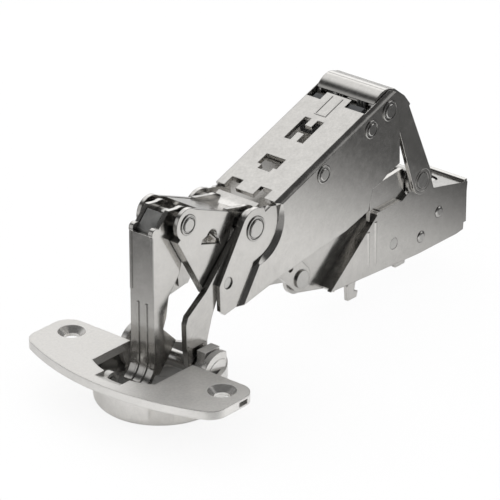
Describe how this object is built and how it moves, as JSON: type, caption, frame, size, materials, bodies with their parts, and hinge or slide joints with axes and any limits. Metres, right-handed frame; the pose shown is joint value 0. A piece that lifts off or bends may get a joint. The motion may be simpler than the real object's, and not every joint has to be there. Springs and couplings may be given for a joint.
{
  "type": "concealed cup hinge",
  "caption": "Wide-angle concealed cabinet hinge with a screw-on cup, a linked arm on axles and a clip-on base channel.",
  "frame": {"origin": "on the cup's axis at the door's face, the underside of the screw flange", "axes": "+Z out of the door along the cup's axis, +X from the cup to the rear end of the arm, +Y along the flange"},
  "size_m": [0.1417, 0.066, 0.0639],
  "materials": {
    "nickel_sheet": "bright nickel plated",
    "cast_nickel": "satin nickel plated",
    "pin_steel": "bright",
    "spring_steel": "dark oiled",
    "dark_plastic": "moulded, matt"
  },
  "bodies": {
    "cup": {"cup": "cast_nickel", "arm_axle": "pin_steel", "foot_axle": "pin_steel", "cup_lining": "dark_plastic"},
    "arm": {"arm_channel": "nickel_sheet", "leg_near": "nickel_sheet", "leg_far": "nickel_sheet", "cross_axle": "pin_steel", "rear_axle": "pin_steel", "front_rivet": "pin_steel", "rear_rivet": "pin_steel", "leg_rivets": "pin_steel", "plastic_guide": "dark_plastic", "closing_spring": "spring_steel"},
    "lever": {"inner_lever": "nickel_sheet", "lever_studs": "pin_steel", "spacer_rings": "pin_steel"},
    "post": {"post_lever": "nickel_sheet", "top_axle": "pin_steel", "post_plate": "spring_steel"},
    "link": {"rear_link": "nickel_sheet", "link_axle": "pin_steel"},
    "base": {"base_channel": "nickel_sheet", "base_slide": "cast_nickel", "front_axle": "pin_steel", "base_rivets": "pin_steel", "latch_spring": "spring_steel", "latch_axle": "pin_steel"},
    "latch": {"latch": "cast_nickel"},
    "screw": {"adjusting_screw": "pin_steel"}
  },
  "joints": [
    {"name": "arm_on_cup", "type": "hinge", "parent": "cup", "child": "arm", "pos_m": [0.0065, 0, -0.0016], "axis": [0, -1, 0], "range_deg": [-57.5, 79.7]},
    {"name": "lever_on_arm", "type": "hinge", "parent": "arm", "child": "lever", "pos_m": [0.0263, 0, 0.0317], "axis": [0, -1, 0], "range_deg": [-63.2, 45.6]},
    {"name": "post_on_lever", "type": "hinge", "parent": "lever", "child": "post", "pos_m": [0.0036, 0, 0.0398], "axis": [0, -1, 0], "range_deg": [-36.8, 51]},
    {"name": "link_on_arm", "type": "hinge", "parent": "arm", "child": "link", "pos_m": [0.0798, 0, 0.0476], "axis": [0, -1, 0], "range_deg": [-65.7, 47.4]},
    {"name": "base_on_link", "type": "hinge", "parent": "link", "child": "base", "pos_m": [0.0965, 0, 0.0212], "axis": [0, -1, 0], "range_deg": [-54.9, 76]},
    {"name": "latch_pivot", "type": "hinge", "parent": "base", "child": "latch", "pos_m": [0.086, 0, 0.0056], "axis": [0, -1, 0], "range_deg": [0, 8]},
    {"name": "screw_turn", "type": "hinge", "parent": "base", "child": "screw", "pos_m": [0.1094, 0, 0.01], "axis": [0, 0, 1], "continuous": true}
  ],
  "couplings": [
    {"joint": "lever_on_arm", "follows": "arm_on_cup", "ratio": -0.792},
    {"joint": "post_on_lever", "follows": "arm_on_cup", "ratio": 0.638},
    {"joint": "link_on_arm", "follows": "arm_on_cup", "ratio": -0.823},
    {"joint": "base_on_link", "follows": "arm_on_cup", "ratio": 0.953}
  ]
}
